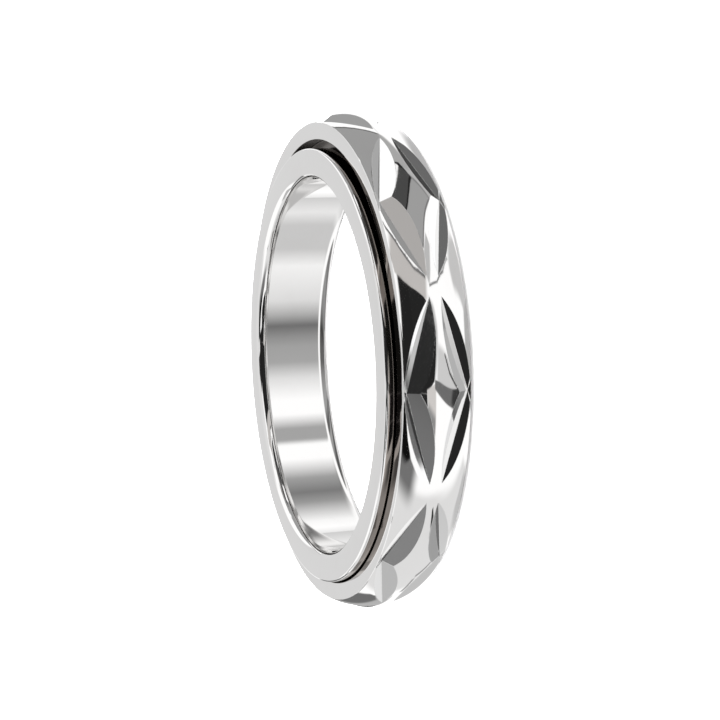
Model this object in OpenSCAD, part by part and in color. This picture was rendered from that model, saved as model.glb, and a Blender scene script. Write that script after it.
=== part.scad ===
// Spinner ring: a rimmed inner sleeve and a domed outer band that turns freely round it.
// The ring lies on its side. The origin is on the surface that it lies on, under the middle of the band, and +Z is
// the axis that the band turns about.

/* [Sleeve] */
// Diameter of the bore, where the finger goes
finger_d = 18.2; // [14:0.1:23]
// Width of the whole ring, from end face to end face
ring_w = 3.9; // [3.4:0.1:8]
// Wall of the sleeve between its bore and the floor of its channel
sleeve_wall = 0.7; // [0.6:0.05:1.6]
// Height of the two rims above the floor of the channel
rim_h = 0.75; // [0.55:0.05:1.2]
// Width of each rim along the bore
rim_w = 0.9; // [0.7:0.05:1.1]
// Bevel on the outer edge of each rim
rim_bevel = 0.08; // [0.04:0.01:0.15]
// How far the rounded mouths widen the bore at the end faces
mouth_flare = 0.25; // [0.1:0.05:0.35]
// Depth of the rounded mouths along the bore
mouth_depth = 0.6; // [0.25:0.05:0.7]

/* [Band] */
// Inset of each side face of the band from the end face of the sleeve, with the band in the middle of its play
side_inset = 0.35; // [0.25:0.05:0.5]
// Width of the flat side faces of the band
face_w = 0.71; // [0.4:0.01:1.2]
// Rise of the domed outer face from its edges to its crown
dome_h = 0.5; // [0.3:0.05:0.8]
// Bevel on the inner edge of the side faces
recess_bevel = 0.1; // [0.05:0.05:0.2]

/* [Clearances] */
// Play of the band along the axis, both ways together
end_play = 0.36; // [0.2:0.02:0.5]
// Gap left under the rib of the band, which has sunk onto the lower rim
rest_gap = 0.05; // [0.03:0.01:0.1]
// Radial clearance between the floor of the channel and the rib, with the sleeve in the middle of the band
run_gap = 0.24; // [0.15:0.01:0.4]
// Radial clearance between the rims and the recesses of the band, with the sleeve in the middle of the band
rim_gap = 0.24; // [0.15:0.01:0.5]
// Radial clearance left on the side to which the sleeve has dropped inside the band
drop_gap = 0.06; // [0.05:0.01:0.12]

/* [Cuts] */
// Number of lozenges round the band
lozenges = 8; // [6:1:12]
// Share of the way round that the lozenges cover
lozenge_share = 0.9; // [0.6:0.01:0.95]
// Distance of a lozenge's side corners from the side faces
corner_inset = 0.1; // [0.05:0.01:0.4]
// Depth of the cuts under the dome at the side corners
corner_depth = 0.12; // [0.05:0.01:0.2]
// Distance between facing cuts across the crown, at their tips
tip_gap = 0.56; // [0.3:0.02:1.2]
// Angle between the two facets of a cut
cutter_angle = 120; // [100:5:140]
// Lean of each cut, which makes the facet nearer the crown the wider one
cutter_lean = 12; // [0:1:20]
// Turn of the pattern from +X
pattern_turn = 37; // [0:1:59]

/* [Hidden] */
$fn = 180;

// Overlap of a cutting shape past the surface that it cuts
past = 1;

bore_r = finger_d / 2;
floor_r = bore_r + sleeve_wall;
rim_r = floor_r + rim_h;
mouth_r = (pow(mouth_flare, 2) + pow(mouth_depth, 2)) / (2 * mouth_flare);

// The sleeve has dropped towards -X inside the band
sleeve_x = drop_gap - min(run_gap, rim_gap);

channel_w = ring_w - 2 * rim_w;
rib_w = channel_w - end_play;
rib_r = floor_r + run_gap;
recess_r = rim_r + rim_gap;
band_w = ring_w - 2 * side_inset;
band_mid = rim_w + rest_gap + rib_w / 2;
edge_r = recess_r + recess_bevel + face_w;
crown_r = edge_r + dome_h;
dome_r = (pow(band_w / 2, 2) + pow(dome_h, 2)) / (2 * dome_h);
recess_w = (band_w - rib_w) / 2;

// Half of the angle that a lozenge covers, and the heights of its corners and tips above the middle of the band
half_turn = 180 / lozenges * lozenge_share;
corner_z = band_w / 2 - corner_inset;
tip_z = tip_gap / 2;

function unit(v) = v / norm(v);

// Direction that faces straight out of the dome, at an angle round the ring and a height above the band's middle
function dome_out(turn, z) =
    let (lean = asin(z / dome_r))
    [cos(turn) * cos(lean), sin(turn) * cos(lean), sin(lean)];

// Point a depth under the dome, at an angle round the ring and a height above the band's middle
function under_dome(turn, z, depth) =
    let (r = crown_r - dome_r + dome_r * cos(asin(z / dome_r)))
    [r * cos(turn), r * sin(turn), z] - depth * dome_out(turn, z);

// Half of the sleeve's cross-section, up to the middle of its width: the wall, one rim and one rounded mouth
module sleeve_half() {
    difference() {
        union() {
            translate([bore_r, 0]) square([sleeve_wall, ring_w / 2]);
            polygon([
                [bore_r, 0],
                [rim_r - rim_bevel, 0],
                [rim_r, rim_bevel],
                [rim_r, rim_w],
                [bore_r, rim_w]
            ]);
        }
        difference() {
            translate([bore_r - past, -past]) square([past + mouth_flare, past + mouth_depth]);
            translate([bore_r + mouth_r, mouth_depth]) circle(r = mouth_r);
        }
    }
}

module inner_sleeve() {
    color([0.80, 0.80, 0.81])
        translate([sleeve_x, 0, 0])
            rotate_extrude() {
                sleeve_half();
                translate([0, ring_w]) mirror([0, 1]) sleeve_half();
            }
}

// Wedge that cuts one marquise, from a side corner of a lozenge to its tip
module v_cut() {
    corner = under_dome(0, corner_z, corner_depth);
    tip = under_dome(half_turn, tip_z, 0);
    along = unit(tip - corner);
    middle_out = dome_out(half_turn / 2, (corner_z + tip_z) / 2);
    up = unit(middle_out - (middle_out * along) * along);
    side = cross(up, along);
    tall = 2 * dome_h + corner_depth;
    crown_side = tall / tan((180 - cutter_angle) / 2 - cutter_lean);
    face_side = tall / tan((180 - cutter_angle) / 2 + cutter_lean);
    multmatrix([
        [side.x, up.x, along.x, corner.x],
        [side.y, up.y, along.y, corner.y],
        [side.z, up.z, along.z, corner.z]
    ])
        translate([0, 0, -past])
            linear_extrude(norm(tip - corner) + 2 * past)
                polygon([[0, 0], [face_side, tall], [-crown_side, tall]]);
}

// The four marquises of one lozenge
module lozenge_cuts() {
    for (down = [0, 1], back = [0, 1])
        mirror([0, 0, down]) mirror([0, back, 0]) v_cut();
}

// Cross-section of the band before its cuts, with its middle at height zero
module band_section() {
    difference() {
        intersection() {
            translate([crown_r - dome_r, 0]) circle(r = dome_r, $fn = 360);
            translate([rib_r, -band_w / 2]) square([crown_r, band_w]);
        }
        for (down = [0, 1])
            mirror([0, down])
                polygon([
                    [rib_r - past, band_w / 2 + past],
                    [rib_r - past, band_w / 2 - recess_w],
                    [recess_r, band_w / 2 - recess_w],
                    [recess_r, band_w / 2 - recess_bevel],
                    [recess_r + recess_bevel + past, band_w / 2 + past]
                ]);
    }
}

module spinner_band() {
    color([0.86, 0.86, 0.87])
        translate([0, 0, band_mid])
            difference() {
                rotate_extrude() band_section();
                for (k = [0 : lozenges - 1])
                    rotate([0, 0, pattern_turn + k * 360 / lozenges]) lozenge_cuts();
            }
}

inner_sleeve();
spinner_band();
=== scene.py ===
"""Spinner ring, dressed to match its photograph: a sleeve with two rims, and a domed band that turns on it.

The ring lies on its side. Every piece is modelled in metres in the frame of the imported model, and rides on
the body that it belongs to. The origin is on the surface that the ring lies on, on the axis of the band,
and +Z is that axis.
"""

import logging
import math
from dataclasses import dataclass, field
from enum import Enum
from typing import Callable, NamedTuple

import bpy
from mathutils import Matrix, Vector


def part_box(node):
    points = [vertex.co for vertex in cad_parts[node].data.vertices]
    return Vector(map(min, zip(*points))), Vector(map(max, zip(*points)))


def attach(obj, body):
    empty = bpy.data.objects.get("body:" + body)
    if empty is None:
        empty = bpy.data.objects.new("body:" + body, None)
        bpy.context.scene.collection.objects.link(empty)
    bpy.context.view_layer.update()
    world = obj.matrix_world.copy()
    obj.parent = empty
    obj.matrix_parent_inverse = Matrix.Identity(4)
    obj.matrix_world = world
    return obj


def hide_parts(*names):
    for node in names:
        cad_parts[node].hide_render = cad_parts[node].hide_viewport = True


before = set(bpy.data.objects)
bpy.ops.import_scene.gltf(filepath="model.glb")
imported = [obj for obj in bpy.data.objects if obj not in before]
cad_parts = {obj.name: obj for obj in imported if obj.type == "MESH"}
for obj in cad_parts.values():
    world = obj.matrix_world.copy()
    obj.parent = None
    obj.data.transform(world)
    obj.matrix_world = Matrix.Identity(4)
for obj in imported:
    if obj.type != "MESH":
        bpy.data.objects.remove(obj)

LOG = logging.getLogger("spinner_ring")

# Sizes are written in millimetres, and Blender works in metres
MM = 0.001
# Vertices closer than this, in metres, are one vertex
WELD = 1e-6
# Steps round the ring of every turned shell
STEPS_ROUND = 480
# Steps round each small rounded edge
STEPS_EDGE = 6


class Corner(NamedTuple):
    """One corner of a cross-section, in millimetres, with the radius of its rounding."""

    radius: float
    height: float
    rounding: float = 0.0


class Surface(Enum):
    """The kinds of surface that the ring shows, each with its own finish. The rim walls and the channel are
    coloured dark as painted shade of the gap between sleeve and band.
    """

    POLISHED = "polished_steel"
    BRIGHT_CUT = "bright_cut_steel"
    # Dark brown steel on the outer wall of each rim: painted shade of the gap under the band.
    RIM_WALL = "rim_wall_painted_shade"
    # Near-black steel in the channel and on the band's rib and recess walls: painted shade of the gap.
    CHANNEL = "channel_painted_shade"


# Cross-sections and turned shells


def arc(centre: tuple[float, float], radius: float, start: float, end: float, steps: int) -> list[Corner]:
    """Samples an arc of a cross-section, with both of its ends.

    Args:
        centre: distance from the axis and height of the arc's centre, in millimetres.
        radius: radius of the arc.
        start: angle of the first point in degrees, with 0 straight out from the axis and 90 up.
        end: angle of the last point.
        steps: number of straight steps.

    Returns:
        The points along the arc.
    """
    corners = []
    for step in range(steps + 1):
        angle = math.radians(start + (end - start) * step / steps)
        corners.append(Corner(centre[0] + radius * math.cos(angle), centre[1] + radius * math.sin(angle)))
    return corners


def rounded(outline: list[Corner], steps: int = STEPS_EDGE) -> list[Corner]:
    """Rounds the corners of a closed outline that ask for it.

    Args:
        outline: corners in order, the last one next to the first.
        steps: straight steps round each rounded corner.

    Returns:
        The outline with each such corner replaced by the points of its arc.
    """
    result = []
    for index, here in enumerate(outline):
        if not here.rounding:
            result.append(here)
            continue
        at = Vector((here.radius, here.height))
        before = outline[index - 1]
        after = outline[(index + 1) % len(outline)]
        back = (Vector((before.radius, before.height)) - at).normalized()
        ahead = (Vector((after.radius, after.height)) - at).normalized()
        half = back.angle(ahead) / 2
        middle = (back + ahead).normalized()
        centre = at + middle * (here.rounding / math.sin(half))
        start = at + back * (here.rounding / math.tan(half)) - centre
        turn = start.angle_signed(at + ahead * (here.rounding / math.tan(half)) - centre)
        for step in range(steps + 1):
            spoke = start.copy()
            spoke.rotate(Matrix.Rotation(-turn * step / steps, 2))
            result.append(Corner(centre.x + spoke.x, centre.y + spoke.y))
    return result


def select_nothing() -> None:
    """Deselects every object, so that an operator acts only on what is picked next."""
    bpy.ops.object.select_all(action="DESELECT")


def pick(*pieces: bpy.types.Object) -> None:
    """Selects only these pieces, with the first one active.

    Args:
        pieces: the objects that the next operator works on.
    """
    select_nothing()
    for piece in pieces:
        piece.select_set(True)
    bpy.context.view_layer.objects.active = pieces[0]


def turned_shell(name: str, outline: list[Corner]) -> bpy.types.Object:
    """Turns a closed cross-section once round the vertical axis, one loop of edges for each of its points.

    Args:
        name: name of the new piece.
        outline: points of the cross-section, in millimetres.

    Returns:
        A closed shell whose faces point outwards.
    """
    select_nothing()
    start = outline[0]
    bpy.ops.mesh.primitive_circle_add(vertices=STEPS_ROUND, radius=start.radius * MM, fill_type="NOTHING")
    shell = bpy.context.active_object
    shell.name = shell.data.name = name
    bpy.ops.object.mode_set(mode="EDIT")
    bpy.ops.mesh.select_all(action="SELECT")
    bpy.ops.transform.translate(value=(0, 0, start.height * MM))
    for here, there in zip(outline, outline[1:] + outline[:1]):
        rise = (there.height - here.height) * MM
        ratio = there.radius / here.radius
        bpy.ops.mesh.extrude_region_move(TRANSFORM_OT_translate={"value": (0, 0, rise)})
        bpy.ops.transform.resize(value=(ratio, ratio, 1), center_override=(0, 0, 0))
    bpy.ops.mesh.select_all(action="SELECT")
    bpy.ops.mesh.remove_doubles(threshold=WELD)
    bpy.ops.mesh.normals_make_consistent(inside=False)
    bpy.ops.object.mode_set(mode="OBJECT")
    return shell


def dress(
    shell: bpy.types.Object,
    steel: dict[Surface, bpy.types.Material],
    surfaces: tuple[Surface, ...],
    surface_at: Callable[[Vector], Surface],
) -> None:
    """Gives every face of a shell the finish of its place.

    Args:
        shell: the piece.
        steel: the piece's materials.
        surfaces: the kinds of surface that it has, in the order of their slots.
        surface_at: gives the kind of surface at a place, in millimetres.
    """
    for surface in surfaces:
        shell.data.materials.append(steel[surface])
    for face in shell.data.polygons:
        face.material_index = surfaces.index(surface_at(face.center / MM))


def smooth_between_creases(
    shell: bpy.types.Object, crease_deg: float, cut_slot: int = -1, cut_deg: float = 0
) -> None:
    """Shades a shell smooth apart from its creases, and lets wide faces set the shading next to small ones.

    Args:
        shell: the piece.
        crease_deg: edges whose faces meet at more than this angle stay sharp.
        cut_slot: material slot of cut facets, if it has any.
        cut_deg: the same angle for an edge of a cut facet.
    """
    mesh = shell.data
    beside: dict[tuple[int, int], list[int]] = {}
    for face in mesh.polygons:
        for key in face.edge_keys:
            beside.setdefault(key, []).append(face.index)
    pick(shell)
    bpy.ops.object.shade_smooth()
    for edge in mesh.edges:
        pair = [mesh.polygons[index] for index in beside.get(edge.key, [])]
        if len(pair) != 2:
            continue
        limit = cut_deg if cut_slot in (pair[0].material_index, pair[1].material_index) else crease_deg
        edge.use_edge_sharp = pair[0].normal.angle(pair[1].normal, 0) > math.radians(limit)
    bpy.ops.object.modifier_add(type="WEIGHTED_NORMAL")
    weighted = shell.modifiers[-1]
    weighted.keep_sharp = True
    bpy.ops.object.modifier_apply(modifier=weighted.name)


# Shader nodes


# One socket of a node, and all of its inputs or outputs
Socket = bpy.types.NodeSocket
Sockets = bpy.types.bpy_prop_collection


class NodeSheet:
    """A shader tree that is filled from code, one node at a time."""

    def __init__(self, tree: bpy.types.NodeTree) -> None:
        """Starts on a tree.

        Args:
            tree: the tree of a material, a world or a node group.
        """
        self.tree = tree

    def add(self, kind: str, inputs: dict | None = None, **settings: object) -> bpy.types.Node:
        """Adds one node.

        Args:
            kind: Blender's name of the node type.
            inputs: a value or an output socket for each input, by its name or index.
            settings: the node's own properties.

        Returns:
            The new node.
        """
        made = self.tree.nodes.new(kind)
        for name, value in settings.items():
            setattr(made, name, value)
        for key, value in (inputs or {}).items():
            if isinstance(value, Socket):
                self.tree.links.new(value, made.inputs[key])
            else:
                made.inputs[key].default_value = value
        return made

    def math(self, operation: str, *values: object) -> Socket:
        """Adds a Math node on numbers or sockets, and returns its result."""
        return self.add("ShaderNodeMath", dict(enumerate(values)), operation=operation).outputs[0]

    def vector(self, operation: str, inputs: dict) -> Sockets:
        """Adds a Vector Math node, and returns its outputs."""
        return self.add("ShaderNodeVectorMath", inputs, operation=operation).outputs

    def azimuth(self, part: Sockets) -> Socket:
        """Adds the angle of a separated place or direction round +Z, in radians, from -Y towards +X."""
        return self.math("ARCTAN2", part["X"], self.math("MULTIPLY", part["Y"], -1.0))

    def between(self, value: Socket, low: object, high: object, clamp: bool = True) -> Socket:
        """Adds a smooth step from zero to one.

        Args:
            value: what it reads.
            low: number or socket below which it is zero.
            high: number or socket above which it is one.
            clamp: whether a clamp follows the step, which stays within its bounds without one.

        Returns:
            Its output socket.
        """
        inputs = {"Value": value, "From Min": low, "From Max": high}
        step = self.add("ShaderNodeMapRange", inputs, interpolation_type="SMOOTHSTEP", clamp=clamp)
        return step.outputs[0]

    def mix(self, share: Socket, first: object, second: object) -> Socket:
        """Adds a mix of two colours or their sockets, by the share of the second."""
        inputs = {"Factor": share, "A": first, "B": second}
        return self.add("ShaderNodeMix", inputs, data_type="RGBA").outputs["Result"]

    def choose(self, share: Socket, first: bpy.types.Node, second: bpy.types.Node) -> bpy.types.Node:
        """Adds a mix of two shaders, by the share of the second."""
        return self.add("ShaderNodeMixShader", {0: share, 1: first.outputs[0], 2: second.outputs[0]})


class Effect:
    """A node group with named sockets, built once and placed wherever it is needed."""

    name = "Effect"
    inputs: dict[str, tuple[str, object]] = {}
    outputs: dict[str, str] = {}

    def __init__(self) -> None:
        """Makes the group's sockets, and fills it."""
        self.group = bpy.data.node_groups.new(self.name, "ShaderNodeTree")
        for label, (kind, value) in self.inputs.items():
            socket = self.group.interface.new_socket(label, in_out="INPUT", socket_type=kind)
            if value is not None:
                socket.default_value = value
        for label, kind in self.outputs.items():
            self.group.interface.new_socket(label, in_out="OUTPUT", socket_type=kind)
        sheet = NodeSheet(self.group)
        results = self.fill(sheet, sheet.add("NodeGroupInput").outputs)
        sheet.add("NodeGroupOutput", results)

    def fill(self, sheet: NodeSheet, given: Sockets) -> dict[str, Socket]:
        """Adds the group's own nodes.

        Args:
            sheet: the group's tree.
            given: the group's input values.

        Returns:
            A socket for each output, by name.
        """
        raise NotImplementedError

    def place(self, sheet: NodeSheet, **values: object) -> bpy.types.Node:
        """Places the group in a tree.

        Args:
            sheet: the tree.
            values: a value or socket for each input, with _ for each space of its name.

        Returns:
            The group's node there.
        """
        inputs = {name.replace("_", " "): value for name, value in values.items()}
        return sheet.add("ShaderNodeGroup", inputs, node_tree=self.group)


class PolishingLines(Effect):
    """Fine lines that run round the ring, left by the wheel that polished it."""

    name = "Polishing lines"
    inputs = {
        "Position": ("NodeSocketVector", None),
        "Lines per mm": ("NodeSocketFloat", 14.0),
        "Breaks round": ("NodeSocketFloat", 9.0),
    }
    outputs = {"Lines": "NodeSocketFloat"}

    def fill(self, sheet: NodeSheet, given: Sockets) -> dict[str, Socket]:
        """Stretches a noise round the axis. See Effect.fill for Args and Returns."""
        place = sheet.add("ShaderNodeSeparateXYZ", {0: given["Position"]}).outputs
        flat = sheet.add("ShaderNodeCombineXYZ", {0: place["X"], 1: place["Y"]}).outputs[0]
        radius = sheet.vector("LENGTH", {0: flat})["Value"]
        round_about = sheet.vector("NORMALIZE", {0: flat})[0]
        spread = sheet.vector("SCALE", {0: round_about, "Scale": given["Breaks round"]})[0]
        across = sheet.math("ADD", radius, place["Z"])
        across = sheet.math("MULTIPLY", sheet.math("MULTIPLY", across, given["Lines per mm"]), 1 / MM)
        lift = sheet.add("ShaderNodeCombineXYZ", {2: across}).outputs[0]
        grain = sheet.vector("ADD", {0: spread, 1: lift})[0]
        inputs = {"Vector": grain, "Scale": 1.0, "Detail": 4.0, "Roughness": 0.6}
        return {"Lines": sheet.add("ShaderNodeTexNoise", inputs).outputs[0]}


class HandlingMarks(Effect):
    """Sparse short scratches at all angles and soft smudges, as on a ring that has been handled."""

    name = "Handling marks"
    inputs = {
        "Position": ("NodeSocketVector", None),
        "Scratches per mm": ("NodeSocketFloat", 1.2),
        "Smudges per mm": ("NodeSocketFloat", 0.5),
    }
    outputs = {"Scratches": "NodeSocketFloat", "Smudges": "NodeSocketFloat"}

    # Turns of the two sets of scratches, in degrees
    TURNS = ((20.0, 35.0, 0.0), (-40.0, 10.0, 65.0))
    # How much longer a scratch is than it is wide
    STRETCH = 18.0
    # Values of the noise between which a scratch and a smudge come up
    SCRATCH_PEAK = (0.66, 0.74)
    SMUDGE_PEAK = (0.48, 0.72)

    def fill(self, sheet: NodeSheet, given: Sockets) -> dict[str, Socket]:
        """Keeps only the peaks of stretched noises. See Effect.fill for Args and Returns."""
        in_mm = sheet.vector("SCALE", {0: given["Position"], "Scale": 1 / MM})[0]
        marks = None
        for turn in self.TURNS:
            inputs = {
                "Vector": in_mm,
                "Rotation": [math.radians(angle) for angle in turn],
                "Scale": (1.0, self.STRETCH, self.STRETCH),
            }
            turned = sheet.add("ShaderNodeMapping", inputs).outputs[0]
            inputs = {"Vector": turned, "Scale": given["Scratches per mm"], "Detail": 2.0, "Roughness": 0.5}
            noise = sheet.add("ShaderNodeTexNoise", inputs).outputs[0]
            peak = sheet.between(noise, *self.SCRATCH_PEAK)
            marks = peak if marks is None else sheet.math("MAXIMUM", marks, peak)
        inputs = {
            "Vector": in_mm,
            "Scale": given["Smudges per mm"],
            "Detail": 4.0,
            "Roughness": 0.55,
            "Distortion": 0.8,
        }
        haze = sheet.add("ShaderNodeTexNoise", inputs).outputs[0]
        return {"Scratches": marks, "Smudges": sheet.between(haze, *self.SMUDGE_PEAK)}


@dataclass(frozen=True)
class SteelFinish:
    """One finish of the steel.

    Attributes:
        surface: the kind of surface that it is on.
        colour: linear colour of the clean metal; on the rim walls and in the channel it is darkened as
            painted shade.
        film: linear colour where a film or wear has settled; on the rim walls and in the channel it is
            darker still, so that there it is part wear and part painted shade.
        film_share: how much of that colour shows at most.
        roughness: roughness of the clean metal.
        line_roughness: how far the polishing lines swing the roughness.
        mark_roughness: how much a scratch adds to it, and a smudge half of that.
        lines_per_mm: how many polishing lines lie side by side in a millimetre.
        breaks_round: how often a line breaks, per radian round the ring.
        relief: depth of the lines and scratches in millimetres.
        edge: radius to which the polish has rounded its sharp edges, in millimetres.
    """

    surface: Surface
    colour: tuple[float, float, float]
    film: tuple[float, float, float]
    film_share: float
    roughness: float
    line_roughness: float
    mark_roughness: float
    lines_per_mm: float
    breaks_round: float
    relief: float
    edge: float = 0.03

    def build(
        self, lines: PolishingLines, marks: HandlingMarks, piece: str, axis_x: float
    ) -> bpy.types.Material:
        """Makes the material of one piece.

        Args:
            lines: the group of the polishing lines.
            marks: the group of the scratches and smudges.
            piece: name of the piece that it is for.
            axis_x: place of the piece's axis along X, in metres.

        Returns:
            A procedural metal on Object coordinates.
        """
        material = bpy.data.materials.new(f"{piece}_{self.surface.value}")
        material.use_nodes = True
        material.diffuse_color = (*self.colour, 1)
        sheet = NodeSheet(material.node_tree)
        shader = material.node_tree.nodes["Principled BSDF"]
        shader.inputs["Metallic"].default_value = 1.0
        place = sheet.add("ShaderNodeTexCoord").outputs["Object"]
        position = sheet.add("ShaderNodeMapping", {"Vector": place, "Location": (-axis_x, 0, 0)}).outputs[0]
        grain = lines.place(
            sheet, Position=position, Lines_per_mm=self.lines_per_mm, Breaks_round=self.breaks_round
        ).outputs["Lines"]
        worn = marks.place(sheet, Position=position).outputs
        film = sheet.math("MULTIPLY", sheet.math("ADD", grain, worn["Smudges"]), self.film_share / 2)
        colour = sheet.mix(film, (*self.colour, 1), (*self.film, 1))
        sheet.tree.links.new(colour, shader.inputs["Base Color"])
        calm = self.roughness - self.line_roughness / 2
        swing = sheet.math("MULTIPLY_ADD", grain, self.line_roughness, calm)
        touched = sheet.math("MAXIMUM", worn["Scratches"], sheet.math("MULTIPLY", worn["Smudges"], 0.5))
        rough = sheet.math("MULTIPLY_ADD", touched, self.mark_roughness, swing)
        sheet.tree.links.new(rough, shader.inputs["Roughness"])
        height = sheet.math("SUBTRACT", grain, worn["Scratches"])
        soft_edges = sheet.add("ShaderNodeBevel", {"Radius": self.edge * MM}, samples=6).outputs[0]
        bump = sheet.add(
            "ShaderNodeBump",
            {"Height": height, "Distance": self.relief * MM, "Strength": 1.0, "Normal": soft_edges},
        )
        sheet.tree.links.new(bump.outputs[0], shader.inputs["Normal"])
        return material


class Finishes:
    """All finishes of the ring, made for each piece when it asks for them."""

    STEELS = (
        SteelFinish(
            surface=Surface.POLISHED,
            colour=(0.82, 0.815, 0.81),
            film=(0.70, 0.685, 0.67),
            film_share=0.16,
            roughness=0.035,
            line_roughness=0.02,
            mark_roughness=0.05,
            lines_per_mm=14,
            breaks_round=9,
            relief=0.00002,
        ),
        SteelFinish(
            surface=Surface.BRIGHT_CUT,
            colour=(0.84, 0.838, 0.835),
            film=(0.74, 0.73, 0.72),
            film_share=0.12,
            roughness=0.03,
            line_roughness=0.02,
            mark_roughness=0.03,
            lines_per_mm=22,
            breaks_round=5,
            relief=0.00002,
        ),
        # The rim walls: dark brown steel with a darker film, as painted shade of the gap under the band.
        SteelFinish(
            surface=Surface.RIM_WALL,
            colour=(0.30, 0.272, 0.252),
            film=(0.19, 0.165, 0.148),
            film_share=0.5,
            roughness=0.06,
            line_roughness=0.04,
            mark_roughness=0.05,
            lines_per_mm=12,
            breaks_round=6,
            relief=0.00003,
        ),
        # The channel and the band's inner walls: near-black steel as painted shade of the gap between the
        # pieces.
        SteelFinish(
            surface=Surface.CHANNEL,
            colour=(0.10, 0.085, 0.075),
            film=(0.035, 0.028, 0.024),
            film_share=0.8,
            roughness=0.18,
            line_roughness=0.10,
            mark_roughness=0.10,
            lines_per_mm=10,
            breaks_round=6,
            relief=0.00012,
        ),
    )

    def __init__(self) -> None:
        """Builds the groups that all finishes share."""
        self.lines = PolishingLines()
        self.marks = HandlingMarks()

    def of(self, piece: str, axis_x: float = 0) -> dict[Surface, bpy.types.Material]:
        """Makes the materials of one piece.

        Args:
            piece: name of the piece.
            axis_x: place of its axis along X, in metres.

        Returns:
            A material for each kind of surface.
        """
        return {steel.surface: steel.build(self.lines, self.marks, piece, axis_x) for steel in self.STEELS}


# Pieces of the ring


@dataclass
class InnerSleeve:
    """The sleeve that the finger goes through: a bore with rounded mouths, and a channel between two rims.

    Attributes:
        bore_r: radius of the bore, in millimetres, as all its lengths.
        floor_r: radius of the channel's floor.
        rim_w: width of each rim.
        rim_edge: rounding of a rim's outer edge.
        mouth_flare: how far a mouth widens the bore.
        mouth_depth: depth of a mouth.
        mouth_slow: angle that the slow arc of a mouth turns through, in degrees.
        mouth_share: share of the mouth's depth that the slow arc takes.
        mouth_steps: straight steps of each of the two arcs.
        mouth_edge: rounding between a mouth and its end face.
        channel_edge: rounding of the edges and corners of the channel.
        crease_deg: edges that bend by more than this angle stay sharp.
        width: from end face to end face, from the frame.
        rim_r: radius of the rims, from the frame.
        axis_x: place of the sleeve's axis along X, from the frame.
    """

    bore_r: float = 9.1
    floor_r: float = 9.8
    rim_w: float = 0.9
    rim_edge: float = 0.16
    mouth_flare: float = 0.25
    mouth_depth: float = 0.6
    mouth_slow: float = 12.0
    mouth_share: float = 0.5
    mouth_steps: int = 8
    mouth_edge: float = 0.035
    channel_edge: float = 0.04
    crease_deg: float = 40.0
    width: float = field(init=False)
    rim_r: float = field(init=False)
    axis_x: float = field(init=False)

    def __post_init__(self) -> None:
        """Reads the sizes that the frame gives."""
        low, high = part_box("inner_sleeve")
        self.width = high.z / MM
        self.rim_r = (high.x - low.x) / 2 / MM
        self.axis_x = (high.x + low.x) / 2 / MM

    def mouth(self, top: float) -> list[Corner]:
        """Returns a rounded mouth, from the bore to the end face, as a slow arc and a quick one.

        Args:
            top: height of the end face.
        """
        slow = math.radians(self.mouth_slow)
        slow_r = self.mouth_depth * self.mouth_share / math.sin(slow)
        foot = top - self.mouth_depth
        first = arc((self.bore_r + slow_r, foot), slow_r, 180, 180 - self.mouth_slow, self.mouth_steps)
        rise = top - first[-1].height
        out = self.bore_r + self.mouth_flare - first[-1].radius
        chord = math.atan2(out, rise)
        quick_r = math.hypot(out, rise) / 2 / math.sin(chord - slow)
        end = math.degrees(2 * chord - slow)
        middle = (
            first[-1].radius + quick_r * math.cos(slow),
            first[-1].height - quick_r * math.sin(slow),
        )
        return first[:-1] + arc(middle, quick_r, 180 - self.mouth_slow, 180 - end, self.mouth_steps)

    def upper_half(self) -> list[Corner]:
        """Returns the cross-section over the sleeve's middle, from the bore over the rim to the channel."""
        top = self.width / 2
        mouth = self.mouth(top)
        mouth[-1] = mouth[-1]._replace(rounding=self.mouth_edge)
        return mouth + [
            Corner(self.rim_r, top, self.rim_edge),
            Corner(self.rim_r, top - self.rim_w, self.channel_edge),
            Corner(self.floor_r, top - self.rim_w, self.channel_edge),
        ]

    def outline(self) -> list[Corner]:
        """Returns the whole cross-section, closed and rounded, with its foot at height zero."""
        upper = self.upper_half()
        lower = [corner._replace(height=-corner.height) for corner in reversed(upper)]
        middle = self.width / 2
        return [corner._replace(height=corner.height + middle) for corner in rounded(upper + lower)]

    def surface_at(self, place: Vector) -> Surface:
        """Returns the kind of surface at a place.

        Args:
            place: in millimetres, from the foot of the sleeve's axis.
        """
        radius = math.hypot(place.x, place.y)
        depth = self.width / 2 - abs(place.z - self.width / 2)
        # The channel's walls and floor get near-black steel, as painted shade.
        if radius > self.floor_r - self.channel_edge and depth > self.rim_w - self.channel_edge:
            return Surface.CHANNEL
        # The rims' outer walls get dark brown steel, as painted shade of the gap.
        if radius > self.rim_r - self.channel_edge / 2 and depth > self.rim_edge:
            return Surface.RIM_WALL
        return Surface.POLISHED

    def build(self, finishes: Finishes) -> bpy.types.Object:
        """Models the sleeve, dresses it and lets it ride on its body.

        Args:
            finishes: the finishes of the ring.

        Returns:
            The finished piece.
        """
        sleeve = turned_shell("polished_sleeve", self.outline())
        steel = finishes.of("sleeve", self.axis_x * MM)
        dress(sleeve, steel, (Surface.POLISHED, Surface.RIM_WALL, Surface.CHANNEL), self.surface_at)
        pick(sleeve)
        bpy.ops.transform.translate(value=(self.axis_x * MM, 0, 0))
        bpy.ops.object.transform_apply(location=True, rotation=False, scale=False)
        smooth_between_creases(sleeve, self.crease_deg)
        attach(sleeve, "sleeve")
        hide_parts("inner_sleeve")
        return sleeve


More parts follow.
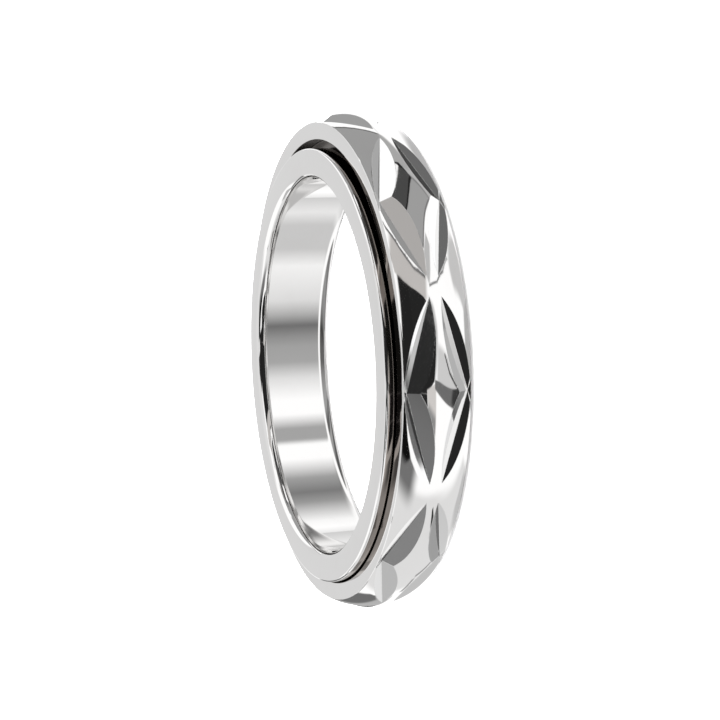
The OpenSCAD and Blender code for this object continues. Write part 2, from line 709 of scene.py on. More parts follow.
@dataclass(frozen=True)
class Dome:
    """The domed outer face of the band, in millimetres, with its crown at height zero.

    Attributes:
        crown_r: distance of the crown from the axis.
        bend_r: radius of the arc across the dome.
    """

    crown_r: float
    bend_r: float

    def lean(self, height: float) -> float:
        """Returns how far the dome leans from upright at a height, in radians."""
        return math.asin(height / self.bend_r)

    def outward(self, turn: float, height: float) -> Vector:
        """Returns the direction that faces straight out of the dome.

        Args:
            turn: angle round the ring from +X, in radians.
            height: height above the crown.
        """
        lean = self.lean(height)
        return Vector((math.cos(turn) * math.cos(lean), math.sin(turn) * math.cos(lean), math.sin(lean)))

    def under(self, turn: float, height: float, depth: float) -> Vector:
        """Returns the point a depth under the dome.

        Args:
            turn: angle round the ring from +X, in radians.
            height: height above the crown.
            depth: how far under the dome.
        """
        radius = self.crown_r - self.bend_r + self.bend_r * math.cos(self.lean(height))
        on_dome = Vector((radius * math.cos(turn), radius * math.sin(turn), height))
        return on_dome - depth * self.outward(turn, height)


@dataclass
class MarquiseCutter:
    """The wedge that cuts one marquise into the dome, from the side corner of a lozenge to its tip.

    Attributes:
        dome: the dome that it cuts.
        corner_z: height of the side corner over the crown, in millimetres, as all its lengths.
        corner_depth: depth of the cut under the dome there.
        tip_turn: angle round the ring from the corner to the tip, in radians.
        tip_z: height of the tip over the crown.
        angle_deg: angle between the two facets.
        lean_deg: lean of the wedge, which makes the facet nearer the crown the wider one.
        past: how far the wedge goes on past the corner and the tip.
        tall: height of the wedge over its edge.
    """

    dome: Dome
    corner_z: float
    corner_depth: float
    tip_turn: float
    tip_z: float
    angle_deg: float = 120.0
    lean_deg: float = 12.0
    past: float = 1.0
    tall: float = 1.12

    @property
    def corner(self) -> Vector:
        """Where the wedge's edge passes under the side corner."""
        return self.dome.under(0, self.corner_z, self.corner_depth)

    @property
    def tip(self) -> Vector:
        """Where the wedge's edge comes out of the dome."""
        return self.dome.under(self.tip_turn, self.tip_z, 0)

    def matrix(self) -> Matrix:
        """Returns the wedge's place, with its axes towards the side face, outwards and towards the tip."""
        along = (self.tip - self.corner).normalized()
        out = self.dome.outward(self.tip_turn / 2, (self.corner_z + self.tip_z) / 2)
        out = (out - out.dot(along) * along).normalized()
        side = out.cross(along)
        place = Matrix((side, out, along)).transposed().to_4x4()
        place.translation = self.corner
        return place

    def build(self, finish: bpy.types.Material, middle: float) -> bpy.types.Object:
        """Models the wedge from a block whose lower side closes to an edge.

        Args:
            finish: the finish that the cut facets take from it.
            middle: height of the band's middle.

        Returns:
            The wedge, in its place at the first lozenge.
        """
        slope = (180 - self.angle_deg) / 2
        to_crown = self.tall / math.tan(math.radians(slope - self.lean_deg))
        to_face = self.tall / math.tan(math.radians(slope + self.lean_deg))
        length = (self.tip - self.corner).length + 2 * self.past
        select_nothing()
        bpy.ops.mesh.primitive_cube_add(size=1)
        wedge = bpy.context.active_object
        wedge.name = "marquise_cutter"
        bpy.ops.object.mode_set(mode="EDIT")
        bpy.ops.mesh.select_all(action="SELECT")
        bpy.ops.transform.translate(value=(0, 0.5, 0.5))
        bpy.ops.transform.resize(value=(to_crown + to_face, self.tall, length), center_override=(0, 0, 0))
        bpy.ops.transform.translate(value=((to_face - to_crown) / 2, 0, -self.past))
        bpy.ops.mesh.select_all(action="DESELECT")
        bpy.ops.object.mode_set(mode="OBJECT")
        for vertex in wedge.data.vertices:
            vertex.select = vertex.co.y < self.tall / 2
        bpy.ops.object.mode_set(mode="EDIT")
        bpy.ops.transform.resize(value=(0, 1, 1), center_override=(0, 0, 0))
        bpy.ops.mesh.select_all(action="SELECT")
        bpy.ops.mesh.remove_doubles(threshold=WELD)
        bpy.ops.mesh.normals_make_consistent(inside=False)
        bpy.ops.object.mode_set(mode="OBJECT")
        wedge.data.materials.append(finish)
        wedge.matrix_world = Matrix.Scale(MM, 4) @ Matrix.Translation((0, 0, middle)) @ self.matrix()
        bpy.ops.object.transform_apply(location=True, rotation=True, scale=True)
        return wedge


@dataclass
class SpinnerBand:
    """The domed band that turns freely on the sleeve, with a row of lozenges cut into its dome.

    Attributes:
        rib_r: inner radius of the rib that runs in the channel, in millimetres, as all its lengths.
        rib_w: width of the rib.
        recess_r: inner radius beside the rib, where the band clears the rims.
        face_w: width of each flat side face, with the rounding of its inner edge.
        dome_steps: straight steps across the dome.
        rib_edge: rounding of the rib's edges and corners.
        recess_edge: rounding of the inner edge of a side face.
        dome_edge: rounding between a side face and the dome.
        crease_deg: edges that bend by more than this angle stay sharp.
        facet_crease_deg: the same for the edges of cut facets.
        lozenges: how many lozenges go round.
        lozenge_share: share of the way round that they cover.
        corner_inset: distance of a lozenge's side corners from the side faces.
        corner_depth: depth of the cuts under the dome there.
        tip_gap: distance between facing cuts across the crown, at their tips.
        pattern_turn_deg: turn of the first lozenge from +X.
        crown_r: radius of the crown, from the frame.
        width: from side face to side face, from the frame.
        middle: height of the band's middle, from the frame.
    """

    rib_r: float = 10.04
    rib_w: float = 1.74
    recess_r: float = 10.79
    face_w: float = 0.81
    dome_steps: int = 48
    rib_edge: float = 0.05
    recess_edge: float = 0.04
    dome_edge: float = 0.03
    crease_deg: float = 40.0
    facet_crease_deg: float = 9.0
    lozenges: int = 8
    lozenge_share: float = 0.9
    corner_inset: float = 0.1
    corner_depth: float = 0.12
    tip_gap: float = 0.56
    pattern_turn_deg: float = 37.0
    crown_r: float = field(init=False)
    width: float = field(init=False)
    middle: float = field(init=False)

    def __post_init__(self) -> None:
        """Reads the sizes that the frame gives."""
        low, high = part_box("spinner_band")
        self.crown_r = high.x / MM
        self.width = (high.z - low.z) / MM
        self.middle = (high.z + low.z) / 2 / MM

    @property
    def edge_r(self) -> float:
        """Distance from the axis of the edge between the dome and the side faces."""
        return self.recess_r + self.face_w

    @property
    def dome(self) -> Dome:
        """The dome over the band's outer edge."""
        rise = self.crown_r - self.edge_r
        return Dome(self.crown_r, ((self.width / 2) ** 2 + rise**2) / (2 * rise))

    def outline(self) -> list[Corner]:
        """Returns the whole cross-section, closed and rounded, at its height on the sleeve."""
        top = self.width / 2
        dome = self.dome
        side = math.degrees(dome.lean(top))
        over = arc((dome.crown_r - dome.bend_r, 0), dome.bend_r, side, -side, self.dome_steps)
        over[0] = over[0]._replace(rounding=self.dome_edge)
        over[-1] = over[-1]._replace(rounding=self.dome_edge)
        inside = [
            Corner(self.rib_r, self.rib_w / 2, self.rib_edge),
            Corner(self.recess_r, self.rib_w / 2, self.rib_edge),
            Corner(self.recess_r, top, self.recess_edge),
        ]
        mirrored = [corner._replace(height=-corner.height) for corner in reversed(inside)]
        whole = rounded(inside + over + mirrored)
        return [corner._replace(height=corner.height + self.middle) for corner in whole]

    def surface_at(self, place: Vector) -> Surface:
        """Returns the kind of surface at a place of the uncut band.

        Args:
            place: in millimetres.
        """
        near_axis = math.hypot(place.x, place.y) < self.recess_r + self.recess_edge / 2
        under_face = abs(place.z - self.middle) < self.width / 2 - self.recess_edge
        # The rib and the recess walls get near-black steel, as painted shade of the gap.
        return Surface.CHANNEL if near_axis and under_face else Surface.POLISHED

    def cutter(self) -> MarquiseCutter:
        """Returns the cutter of one marquise."""
        return MarquiseCutter(
            dome=self.dome,
            corner_z=self.width / 2 - self.corner_inset,
            corner_depth=self.corner_depth,
            tip_turn=math.pi / self.lozenges * self.lozenge_share,
            tip_z=self.tip_gap / 2,
        )

    def cut_lozenges(self, band: bpy.types.Object, finish: bpy.types.Material) -> None:
        """Cuts the four marquises of every lozenge, one of each lozenge at a time.

        Args:
            band: the uncut band.
            finish: the finish of the cut facets.
        """
        first = self.cutter().build(finish, self.middle)
        crown = Vector((0, 0, self.middle * MM))
        for down in (1, -1):
            for back in (1, -1):
                row = []
                for number in range(self.lozenges):
                    turn = math.radians(self.pattern_turn_deg) + math.tau * number / self.lozenges
                    pick(first)
                    bpy.ops.object.duplicate()
                    copy = bpy.context.active_object
                    mirror = Matrix.Diagonal((1, back, down, 1))
                    about = Matrix.Translation(crown) @ Matrix.Rotation(turn, 4, "Z") @ mirror
                    copy.data.transform(about @ Matrix.Translation(-crown))
                    if down * back < 0:
                        copy.data.flip_normals()
                    row.append(copy)
                pick(*row)
                bpy.ops.object.join()
                cutters = bpy.context.active_object
                pick(band)
                bpy.ops.object.modifier_add(type="BOOLEAN")
                cut = band.modifiers[-1]
                cut.operation = "DIFFERENCE"
                cut.solver = "EXACT"
                cut.material_mode = "TRANSFER"
                cut.object = cutters
                bpy.ops.object.modifier_apply(modifier=cut.name)
                bpy.data.objects.remove(cutters)
        bpy.data.objects.remove(first)

    def build(self, finishes: Finishes) -> bpy.types.Object:
        """Models the band, cuts its lozenges, dresses it and lets it ride on its body.

        Args:
            finishes: the finishes of the ring.

        Returns:
            The finished piece.
        """
        band = turned_shell("lozenge_band", self.outline())
        steel = finishes.of("band")
        dress(band, steel, (Surface.POLISHED, Surface.CHANNEL), self.surface_at)
        self.cut_lozenges(band, steel[Surface.BRIGHT_CUT])
        slot = band.data.materials.find(steel[Surface.BRIGHT_CUT].name)
        smooth_between_creases(band, self.crease_deg, slot, self.facet_crease_deg)
        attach(band, "spinner")
        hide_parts("spinner_band")
        return band


# Studio


# Share of the light that polished steel mirrors
STEEL_MIRROR = 0.81


class Warmth(Enum):
    """Colour of the light from a card."""

    NEUTRAL = (1.0, 1.0, 1.0)
    WARM = (1.0, 0.965, 0.94)


@dataclass(frozen=True)
class Card:
    """One reflector or flag of the studio, as the ring sees it.

    Attributes:
        name: what it is.
        tone: how bright polished steel looks where it mirrors the card, from 0 to 1.
        soft: how far its edges fade, in degrees: one value, or several that are taken in turn from the edge
            that starts at the first corner.
        corners: azimuth from -Y towards +X and elevation of each corner in degrees, counterclockwise.
        warmth: colour of its light.
    """

    name: str
    tone: float
    soft: tuple[float, ...]
    corners: tuple[tuple[float, float], ...]
    warmth: Warmth = Warmth.NEUTRAL


@dataclass(frozen=True)
class UnderTube:
    """The tube of paper under the ring, lit unevenly, that the wall of the bore mirrors.

    Attributes:
        radius: of the tube, in millimetres, as all its lengths.
        depth: how far it reaches under the floor.
        banded: how far down it shows the bands.
        white: how far down it is white below them.
        blend: over what depth one goes over into the next.
        foot_light: share of the light that is left below the white.
        steps: flat sides round it.
        bands: azimuth in degrees, from -Y towards +X, and tone of the light there, in order and all the way
            round.
    """

    radius: float = 11.0
    depth: float = 60.0
    banded: float = 7.0
    white: float = 10.5
    blend: float = 1.5
    foot_light: float = 0.33
    steps: int = 96
    bands: tuple[tuple[float, float], ...] = (
        (-180, 0.80), (-157, 0.91), (-140, 0.78), (-112, 0.78), (-94, 0.95), (-60, 0.86), (-47, 0.68),
        (-37, 0.43), (-27, 0.56), (-18, 0.63), (-4, 0.65), (10, 0.87), (30, 1.0), (43, 1.0), (56, 0.64),
        (67, 0.64), (72, 1.0), (86, 1.0), (106, 0.62), (122, 0.48), (134, 0.60), (160, 0.97), (170, 1.0),
        (180, 0.91),
    )

    def above(self, sheet: NodeSheet, height: Socket, depth: float) -> Socket:
        """Returns a mask that is one above a depth and zero below it.

        Args:
            sheet: the paper's tree.
            height: height above the middle of the tube, in metres.
            depth: depth under the floor, in millimetres.
        """
        top = self.depth / 2 - depth
        return sheet.between(height, (top - self.blend) * MM, top * MM)

    def material(self) -> bpy.types.Material:
        """Returns the paper's glow, from the inner side alone."""
        paper = bpy.data.materials.new("under_paper")
        paper.use_nodes = True
        paper.node_tree.nodes.clear()
        sheet = NodeSheet(paper.node_tree)
        place = sheet.add("ShaderNodeTexCoord").outputs["Object"]
        place = sheet.add("ShaderNodeSeparateXYZ", {0: place}).outputs
        share = sheet.math("MULTIPLY_ADD", sheet.azimuth(place), 1 / math.tau, 0.5)
        ramp = sheet.add("ShaderNodeValToRGB", {0: share})
        stops = ramp.color_ramp.elements
        for azimuth, _ in self.bands[1:-1]:
            stops.new(azimuth / 360 + 0.5)
        for stop, (_, tone) in zip(stops, self.bands):
            stop.color = steel_light(tone)
        in_bands = self.above(sheet, place["Z"], self.banded)
        in_white = self.above(sheet, place["Z"], self.white)
        bright = sheet.math("MULTIPLY_ADD", in_white, 1 - self.foot_light, self.foot_light)
        white_share = sheet.math("SUBTRACT", in_white, in_bands)
        colour = sheet.mix(white_share, ramp.outputs["Color"], steel_light(1.0))
        glow = sheet.add("ShaderNodeEmission", {"Color": colour, "Strength": bright})
        clear = sheet.add("ShaderNodeBsdfTransparent")
        behind = sheet.add("ShaderNodeNewGeometry").outputs["Backfacing"]
        sheet.add("ShaderNodeOutputMaterial", {"Surface": sheet.choose(behind, clear, glow).outputs[0]})
        return paper

    def build(self, axis_x: float) -> bpy.types.Object:
        """Makes the tube, which only the steel sees.

        Args:
            axis_x: place of the bore's axis along X, in metres.

        Returns:
            The tube.
        """
        select_nothing()
        bpy.ops.mesh.primitive_cylinder_add(
            vertices=self.steps,
            radius=self.radius * MM,
            depth=self.depth * MM,
            end_fill_type="NOTHING",
            location=(axis_x, 0, -self.depth * MM / 2),
        )
        tube = bpy.context.active_object
        tube.name = tube.data.name = "under_tube"
        for kind in ("camera", "diffuse", "transmission", "shadow"):
            setattr(tube, f"visible_{kind}", False)
        tube.data.materials.append(self.material())
        return tube


def steel_light(tone: float, warmth: Warmth = Warmth.NEUTRAL) -> tuple[float, float, float, float]:
    """Returns the colour of light that polished steel turns into a displayed tone, which is sRGB.

    Args:
        tone: displayed tone, from 0 to 1.
        warmth: colour of the light.
    """
    linear = tone / 12.92 if tone < 0.04045 else ((tone + 0.055) / 1.055) ** 2.4
    red, green, blue = (linear / STEEL_MIRROR * share for share in warmth.value)
    return (red, green, blue, 1.0)


class CardOver(Effect):
    """Lays a card over the light behind it, by how far a direction is inside each of the card's edges."""

    outputs = {"Light": "NodeSocketColor"}

    def __init__(self, edges: int) -> None:
        """Makes the group for cards with a number of edges.

        Args:
            edges: how many edges they have.
        """
        self.edges = edges
        self.name = f"Card with {edges} edges"
        self.inputs = {
            "Direction": ("NodeSocketVector", None),
            "Behind": ("NodeSocketColor", (1, 1, 1, 1)),
            "Card": ("NodeSocketColor", (1, 1, 1, 1)),
            **{f"Edge {number}": ("NodeSocketVector", None) for number in range(edges)},
            **{f"Fade {number}": ("NodeSocketFloat", 1.0) for number in range(edges)},
        }
        super().__init__()

    def fill(self, sheet: NodeSheet, given: Sockets) -> dict[str, Socket]:
        """Multiplies the fades of all edges, and mixes by them. See Effect.fill for Args and Returns."""
        inside = None
        for number in range(self.edges):
            edge = given[f"Edge {number}"]
            depth = sheet.vector("DOT_PRODUCT", {0: given["Direction"], 1: edge})["Value"]
            half = sheet.math("MULTIPLY", given[f"Fade {number}"], 0.5)
            # The clamp is left out, because Cycles has no room for one in every edge of so many cards
            fade = sheet.between(depth, sheet.math("MULTIPLY", half, -1.0), half, clamp=False)
            inside = fade if inside is None else sheet.math("MULTIPLY", inside, fade)
        return {"Light": sheet.mix(inside, given["Behind"], given["Card"])}

    def lay(self, sheet: NodeSheet, direction: Socket, behind: object, card: Card) -> Socket:
        """Places the group for one card.

        Args:
            sheet: the world's tree.
            direction: azimuth, elevation and one, as a vector.
            behind: colour of the light behind the card, as a value or a socket.
            card: the card.

        Returns:
            The socket of the light with the card in front of it.
        """
        colour = steel_light(card.tone, card.warmth)
        values: dict[str, object] = {"Direction": direction, "Behind": behind, "Card": colour}
        for number, corner in enumerate(card.corners):
            start = Vector(corner)
            run = (Vector(card.corners[(number + 1) % self.edges]) - start).normalized()
            inward = Vector((-run.y, run.x))
            values[f"Edge_{number}"] = (inward.x, inward.y, -inward.dot(start))
            values[f"Fade_{number}"] = card.soft[number % len(card.soft)]
        placed = self.place(sheet, **values)
        placed.label = card.name
        return placed.outputs["Light"]


@dataclass
class Studio:
    """White sweep, cards and flags round the ring, and the plain floor that it lies on.

    Attributes:
        open_tone: tone that the steel shows where it mirrors no card.
        floor_size: side of the floor, in metres.
        floor_colour: its linear colour.
        fill_light: strength of the even light on what isn't mirrored.
        cards: the cards and flags, each over the ones before it.
    """

    open_tone: float = 1.0
    floor_size: float = 6.0
    floor_colour: tuple[float, float, float] = (0.86, 0.86, 0.86)
    fill_light: float = 5.0
    cards: tuple[Card, ...] = (
        # Above, below and behind
        Card("ceiling", 0.86, (8,), ((-200, 54), (200, 54), (200, 95), (-200, 95))),
        Card("nadir", 0.68, (3,), ((-200, -95), (200, -95), (200, -77), (-200, -77))),
        Card("rear wall, right", 0.82, (6,), ((146, -8), (200, -8), (200, 60), (146, 60))),
        Card("rear wall, left", 0.82, (6,), ((-200, -8), (-150, 8), (-150, 60), (-200, 60))),
        # On the left
        Card("left screen", 0.86, (6, 3, 12, 8, 8, 6, 6), (
            (-136, -46), (-122, -64), (-90, -64), (-66, -28), (-62, 0), (-62, 44), (-128, 16),
        )),
        Card("left screen, foot", 0.74, (5,), ((-142, -44), (-128, -62), (-108, -62), (-112, -52))),
        Card("left bar", 0.50, (0.7,), ((-95, -28.3), (-86, -27.2), (-86, -25), (-95, -27))),
        Card("left bar, end", 0.18, (0.7,), (
            (-86, -27.2), (-78, -25.5), (-73, -23.2), (-74, -22), (-80, -23.4), (-86, -25),
        )),
        Card("left arc", 0.62, (1,), ((-139, -22), (-128, -26), (-127, -24), (-138, -20))),
        Card("left arc, foot", 0.58, (1,), (
            (-129.5, -36), (-126.8, -36), (-124.2, -25.5), (-126.8, -25.5),
        )),
        Card("left flag", 0.44, (16, 1, 4, 14), ((-68, 14), (-24, 14), (-24, 62), (-68, 62))),
        Card("left flag, core", 0.06, (3, 1, 1, 4, 7), (
            (-53.5, 33), (-49, 27), (-24, 42), (-24, 60), (-53.5, 60),
        )),
        Card("beside the left flag", 1.0, (0.8,), (
            (-57, -2), (-20, -2), (-20, 42.5), (-28, 42.3),
            (-36, 38.6), (-42, 34.4), (-48.8, 26), (-54.6, 10),
        )),
        Card("left upper flag", 0.50, (0.6,), ((-90.5, 31), (-86.5, 31.5), (-86.5, 36), (-90.5, 35))),
        Card("left edge flag", 0.42, (3, 4, 3, 1), (
            (-163, -11), (-157, -16), (-147, -16.5), (-136, -8),
            (-134.4, -2), (-136.5, 2), (-140.5, 7), (-163, 7),
        )),
        Card("left edge flag, foot", 0.68, (3, 1, 2, 4), (
            (-168, -8), (-160, -18), (-140, -18), (-138, -12),
        )),
        Card("left edge card", 0.70, (0.6,), ((-141, 3.5), (-127, 10.7), (-127, 20), (-141, 20))),
        Card("left warm card", 0.56, (0.8,), (
            (-95.5, 5), (-76, 5), (-86, 15), (-95.5, 18.5),
        ), Warmth.WARM),
        Card("left card", 0.74, (2, 2, 2, 6), ((-112, 1), (-96, 3), (-96, 17), (-112, 12))),
        Card("left lamp", 1.0, (0.6,), ((-96, -4), (-89, -4), (-89, 2.2), (-96, 2.2))),
        Card("left hook", 0.45, (0.6,), ((-113, -41), (-107, -41), (-107, -34.8), (-113, -34.8))),
        Card("low left card", 0.60, (1,), ((-160, -62), (-126, -62), (-126, -59), (-150, -39))),
        Card("low left sheet", 0.86, (0.8,), ((-134, -72), (-118, -72), (-118, -62.5), (-134, -62.5))),
        # On the right
        Card("low right card", 0.34, (1,), ((144, -60), (170, -60), (170, -22), (145, -43.7))),
        Card("low rear sheet", 0.70, (5,), ((130, -50), (152, -50), (168, -26), (132, -35))),
        Card("low right sheet", 0.76, (10, 3, 3, 5, 6), (
            (44, -60), (60, -78), (112, -78), (112, -62), (56, -55),
        )),
        Card("right screen", 0.60, (1,), ((96, -16.5), (150, -16.5), (150, 3), (128, 17), (88, 38))),
        Card("right screen, window", 1.0, (0.5,), (
            (108.7, 21.2), (112, 21.2), (112, 25.5), (108.7, 25.5),
        )),
        Card("right screen, edge", 0.34, (1,), (
            (121, -16), (160, -16), (160, 7), (142, 5.6),
            (135, 3.2), (129.5, -0.5), (125.2, -5.3), (122.6, -10.5),
        )),
        Card("beside the right screen", 1.0, (0.7,), (
            (122.4, -16.3), (160, -16.3), (160, 5.5), (142, 4.3),
            (135.6, 1.9), (130.3, -1.6), (126.3, -6), (123.9, -11),
        )),
        Card("low right screen, rim", 0.46, (0.6,), (
            (48.3, -15.4), (63.5, -26.3), (79.5, -37.3), (98, -47.3), (98, -16), (72, 12), (60, 6),
        )),
        Card("low right screen", 0.61, (0.6,), (
            (49.4, -14.5), (64.2, -25.2), (80, -36.2), (98, -46.2), (98, -16), (72, 12), (60, 6),
        )),
        Card("right gap", 0.70, (1,), ((91.5, -44), (100.5, -47), (104, -28), (97, -17), (91.5, -25))),
        Card("right gap, shade", 0.52, (0.8,), ((90.6, -43.5), (93, -44), (93.6, -23.5), (91, -26))),
        Card("right gap, head", 0.65, (2, 4, 2, 1, 1), (
            (97, -28), (106, -27), (122, -17.5), (122, -15), (96, -14),
        )),
        Card("under the right screen", 0.64, (0.6,), ((93, -52), (112, -52), (112, -44), (94, -47.2))),
        Card("right post, shade", 0.12, (0.7,), (
            (65.2, -1.4), (70.3, -9), (79.4, -17.8), (91.8, -27.1),
            (98.5, -18.5), (97, -10), (78, 12), (67, 12),
        )),
        Card("right post", 0.28, (0.8,), (
            (66.4, -0.8), (71.2, -7.8), (80.3, -16.6), (93, -25.6),
            (95, -19), (94, -8), (78, 12), (68, 12),
        )),
        Card("beside the right post", 0.97, (0.8,), (
            (95.5, -16.5), (97, -13), (90, 6), (77.4, 12), (79.9, 0.8), (84.8, -6.7), (91, -13),
        )),
        # In front
        Card("front right sheet", 0.72, (2, 2, 2, 2, 2, 3), (
            (31, -13.5), (36, -18), (52, -26.5), (58, -24), (47, -14.5), (36, -10),
        )),
        Card("under the lens", 0.76, (4,), (
            (-11, -10), (0, -16), (12, -19), (22, -16), (26, -8), (-11, -7),
        )),
        Card("lens side", 0.14, (0.8,), (
            (-16.5, 5.5), (-11.3, -8), (0, -12.6), (10, -15.2),
            (17, -14), (26, 0), (40, 25), (-16.5, 25),
        )),
        Card("lens side, left", 0.14, (0.8,), ((-33, 1), (-16.4, 5.5), (-16.4, 25), (-30, 25))),
        Card("front left flag", 0.12, (0.8,), ((-50, 2), (-33, 1), (-30, 25), (-38, 27), (-44.5, 18))),
        Card("lens side, top", 0.13, (0.8, 0.8, 3, 3, 3, 1), (
            (-27, 24.5), (40, 24.5), (46, 38.5), (30, 42.5), (8, 47.5), (-24, 50),
        )),
        Card("lens hood", 0.16, (1,), (
            (-14, 46), (6, 46), (19.5, 49.7), (19.5, 53), (6, 68), (-10, 68),
        )),
        Card("front right panel", 0.74, (6, 1, 8, 5, 0.8, 0.8, 0.8, 0.8), (
            (24, -5), (40, -12), (70, 22), (57, 45), (46, 42.5), (36.4, 30), (31.5, 20), (28.4, 10),
        ), Warmth.WARM),
        Card("front right panel, edge", 0.38, (1, 1, 1, 1, 2), (
            (33.5, -8), (52, -8), (75, 20), (75, 39), (66, 34.6), (51.4, 25), (44.3, 17.8), (38.2, 8.9),
        )),
        Card("beside the front right panel", 1.0, (0.7,), (
            (35.2, -9), (54, -9), (77, 20), (77, 38),
            (66.5, 33), (52.3, 23.6), (45.6, 16.6), (39.8, 8.3),
        )),
        # On the right, over the front
        Card("right flag", 0.20, (0.8,), ((40, -2), (62, 4), (104, 4), (96, 20.5), (53, 20.5), (45, 8))),
        Card("right flag, top", 0.47, (0.8,), (
            (54.5, 20.5), (96, 20.5), (88, 30), (68, 28.5), (57, 23.5),
        ), Warmth.WARM),
        Card("right post, head", 0.40, (0.8,), ((66, 10.8), (84, 9.4), (84, 15.5), (66, 15.5))),
        Card("front right panel, top", 0.66, (0.8,), (
            (53.5, 42), (61, 42), (61, 47), (53.5, 47),
        ), Warmth.WARM),
        # Low in front
        Card("warm light", 0.80, (2.5, 1, 1, 1), (
            (-37, -12), (-12, -10.5), (-14.8, 5.8), (-24, 2.5),
        ), Warmth.WARM),
        Card("warm light, shade", 0.55, (2, 5, 1, 1), ((-37, -11), (-27, -11), (-21, 3), (-24, 3))),
        Card("front stand", 0.42, (1,), (
            (-14.6, -9), (-29.6, -48), (-26, -60), (-20, -55), (-13.8, -39), (-10.5, -9),
        )),
        Card("front stand, foot", 0.22, (6, 1, 1, 1, 6), (
            (-25, -40), (-30, -47), (-26, -59), (-19.5, -54), (-17, -44),
        )),
        Card("beside the stand", 0.79, (1, 1, 5, 6, 4), (
            (-10.6, -13), (-20, -53), (-5, -45), (2, -30), (5, -17),
        )),
        Card("table edge, left", 0.32, (0.6,), ((-9.5, -37), (-8.2, -38.2), (1, -29.7), (0, -28.5))),
        Card("table edge, left middle", 0.32, (0.6,), (
            (-14, -44), (-12.6, -45), (-8.2, -38.2), (-9.5, -37),
        )),
        Card("table edge, left end", 0.32, (0.6,), ((-19.5, -52), (-18, -53), (-12.6, -45), (-14, -44))),
        Card("table edge, right", 0.50, (0.6,), ((33.4, -28.3), (34.6, -28), (31.3, -13), (30, -13))),
        Card("table edge, right middle", 0.45, (0.6,), (
            (43.2, -43), (44.5, -42), (34.6, -28), (33.4, -28.3),
        )),
        Card("table edge, right end", 0.62, (0.6,), (
            (43.2, -43), (60, -54.5), (61, -53.2), (44.5, -42),
        )),
        Card("low front flag, left", 0.20, (1,), ((-62, -72), (-33.6, -72), (-33.6, -57), (-62, -57))),
        Card("low front flag, right", 0.42, (0.6,), ((-21.4, -72), (-4, -72), (-4, -56), (-21.4, -56))),
    )

    def build_world(self) -> None:
        """Makes the light: white for the view, even for the floor, and the cards for the steel's mirror."""
        world = bpy.data.worlds.new("studio")
        bpy.context.scene.world = world
        world.use_nodes = True
        world.cycles.sampling_method = "NONE"
        sheet = NodeSheet(world.node_tree)
        world.node_tree.nodes.clear()
        direction = sheet.add("ShaderNodeTexCoord").outputs["Generated"]
        part = sheet.add("ShaderNodeSeparateXYZ", {0: direction}).outputs
        azimuth = sheet.math("DEGREES", sheet.azimuth(part))
        elevation = sheet.math("DEGREES", sheet.math("ARCSINE", part["Z"]))
        seen = sheet.add("ShaderNodeCombineXYZ", {0: azimuth, 1: elevation, 2: 1.0}).outputs[0]
        groups: dict[int, CardOver] = {}
        colour: object = steel_light(self.open_tone)
        for card in self.cards:
            edges = len(card.corners)
            if edges not in groups:
                groups[edges] = CardOver(edges)
            colour = groups[edges].lay(sheet, seen, colour, card)
        mirrored = sheet.add("ShaderNodeBackground", {"Color": colour})
        even = sheet.add("ShaderNodeBackground", {"Strength": self.fill_light})
        white = sheet.add("ShaderNodeBackground", {"Strength": 1.0})
        for background in (even, white):
            background.inputs["Color"].default_value = (1, 1, 1, 1)
        path = sheet.add("ShaderNodeLightPath").outputs
        lit = sheet.choose(path["Is Glossy Ray"], even, mirrored)
        shown = sheet.choose(path["Is Camera Ray"], lit, white)
        sheet.add("ShaderNodeOutputWorld", {"Surface": shown.outputs[0]})

    def build_floor(self) -> bpy.types.Object:
        """Makes the floor, which the steel doesn't mirror and which is clear from below.

        Returns:
            The floor.
        """
        select_nothing()
        bpy.ops.mesh.primitive_plane_add(size=self.floor_size)
        floor = bpy.context.active_object
        floor.name = floor.data.name = "floor"
        floor.visible_glossy = False
        material = bpy.data.materials.new("pale_floor")
        material.use_nodes = True
        sheet = NodeSheet(material.node_tree)
        shader = material.node_tree.nodes["Principled BSDF"]
        shader.inputs["Base Color"].default_value = (*self.floor_colour, 1)
        shader.inputs["Roughness"].default_value = 0.9
        shader.inputs["Specular IOR Level"].default_value = 0.0
        clear = sheet.add("ShaderNodeBsdfTransparent")
        below = sheet.add("ShaderNodeNewGeometry").outputs["Backfacing"]
        surface = sheet.choose(below, shader, clear).outputs[0]
        sheet.tree.links.new(surface, material.node_tree.nodes["Material Output"].inputs["Surface"])
        floor.data.materials.append(material)
        return floor


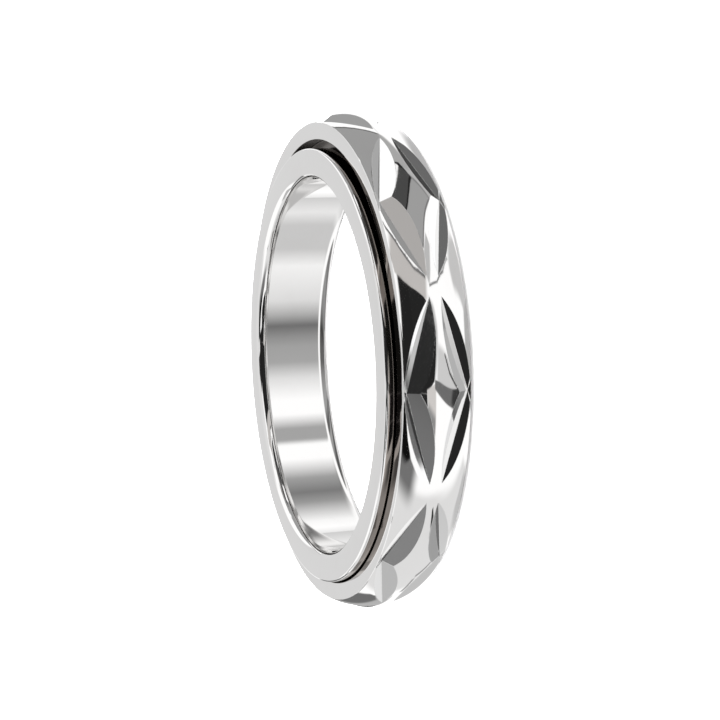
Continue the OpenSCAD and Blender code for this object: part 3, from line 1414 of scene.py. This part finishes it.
@dataclass
class PhotoCamera:
    """The photograph's view, turned so that the ring stands upright in the picture.

    Attributes:
        distance: from the middle of the upper end face, in millimetres.
        elevation_deg: above the plane of that face.
        roll_deg: lean of the ring in the picture.
        frame_px: side of the photograph in pixels.
        focal_px: focal length in those pixels.
        face_px: where the middle of the upper end face lies in the photograph.
        sensor: width of the sensor in millimetres.
    """

    distance: float = 102.0
    elevation_deg: float = 17.77
    roll_deg: float = 3.0
    frame_px: float = 720.0
    focal_px: float = 2090.8
    face_px: tuple[float, float] = (311.0, 365.6)
    sensor: float = 36.0

    def build(self, face: Vector) -> bpy.types.Object:
        """Makes the scene's camera.

        Args:
            face: middle of the upper end face, in millimetres.

        Returns:
            The camera.
        """
        rise = math.radians(self.elevation_deg)
        roll = math.radians(self.roll_deg)
        away = Vector((0, -math.cos(rise), math.sin(rise)))
        above = Vector((0, math.sin(rise), math.cos(rise)))
        beside = Vector((1, 0, 0))
        right = -math.cos(roll) * above - math.sin(roll) * beside
        up = -math.sin(roll) * above + math.cos(roll) * beside
        level = Matrix((right, up, away))
        centre = self.frame_px / 2
        across = (self.face_px[0] - centre) / self.focal_px
        height = (centre - self.face_px[1]) / self.focal_px
        aim = Vector((across, height, -1))
        swing = Vector((0, 0, -1)).rotation_difference(aim).to_matrix()
        data = bpy.data.cameras.new("photo_camera")
        camera = bpy.data.objects.new("photo_camera", data)
        bpy.context.scene.collection.objects.link(camera)
        camera.matrix_world = (swing @ level).transposed().to_4x4()
        camera.location = (away * self.distance + face) * MM
        data.sensor_width = self.sensor
        data.lens = self.focal_px / self.frame_px * self.sensor
        data.clip_start = MM
        data.clip_end = 100.0
        bpy.context.scene.camera = camera
        return camera


def main() -> None:
    """Builds the ring's pieces, the studio and the camera, in that order."""
    logging.basicConfig(level=logging.INFO, format="%(message)s")
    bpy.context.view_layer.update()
    finishes = Finishes()
    sleeve = InnerSleeve()
    band = SpinnerBand()
    for piece in (sleeve.build(finishes), band.build(finishes)):
        mesh = piece.data
        LOG.info("%s: %d faces, %d vertices", piece.name, len(mesh.polygons), len(mesh.vertices))
    studio = Studio()
    studio.build_world()
    studio.build_floor()
    UnderTube().build(sleeve.axis_x * MM)
    PhotoCamera().build(Vector((sleeve.axis_x, 0, sleeve.width)))
    bpy.context.scene.view_settings.view_transform = "Standard"
    LOG.info("studio with %d cards, floor and camera", len(studio.cards))


if __name__ == "__main__":
    main()
